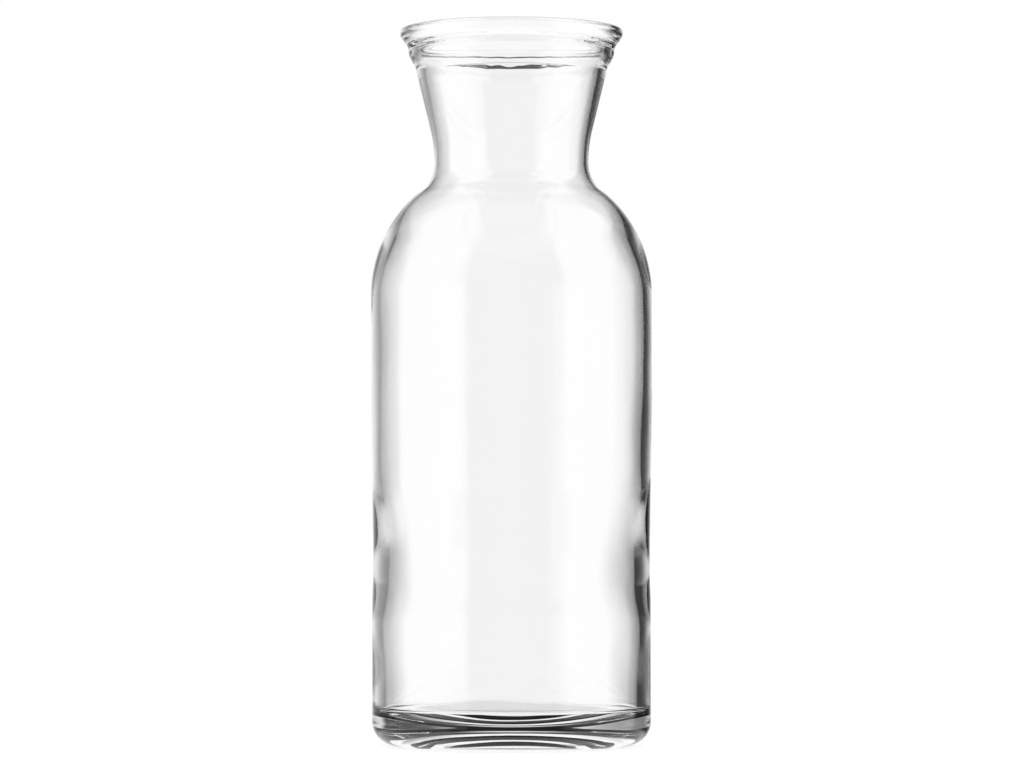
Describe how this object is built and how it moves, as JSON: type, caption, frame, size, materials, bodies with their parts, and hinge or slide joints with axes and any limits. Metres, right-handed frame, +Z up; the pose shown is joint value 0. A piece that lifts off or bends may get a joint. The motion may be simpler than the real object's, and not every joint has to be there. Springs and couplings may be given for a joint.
{
  "type": "wine carafe",
  "caption": "Clear glass wine carafe with a tall body, round shoulder, narrow throat and flared pouring neck with a low collar and a flared lip, standing on a flat foot ring.",
  "frame": {"origin": "centre of the foot ring, on the table", "axes": "+Z up along the axis that the carafe is turned about; X and Y are alike"},
  "size_m": [0.0938, 0.0938, 0.239],
  "materials": {
    "clear_glass": "clear, fire-polished"
  },
  "bodies": {
    "root": {"glass_vessel": "clear_glass"}
  },
  "joints": []
}
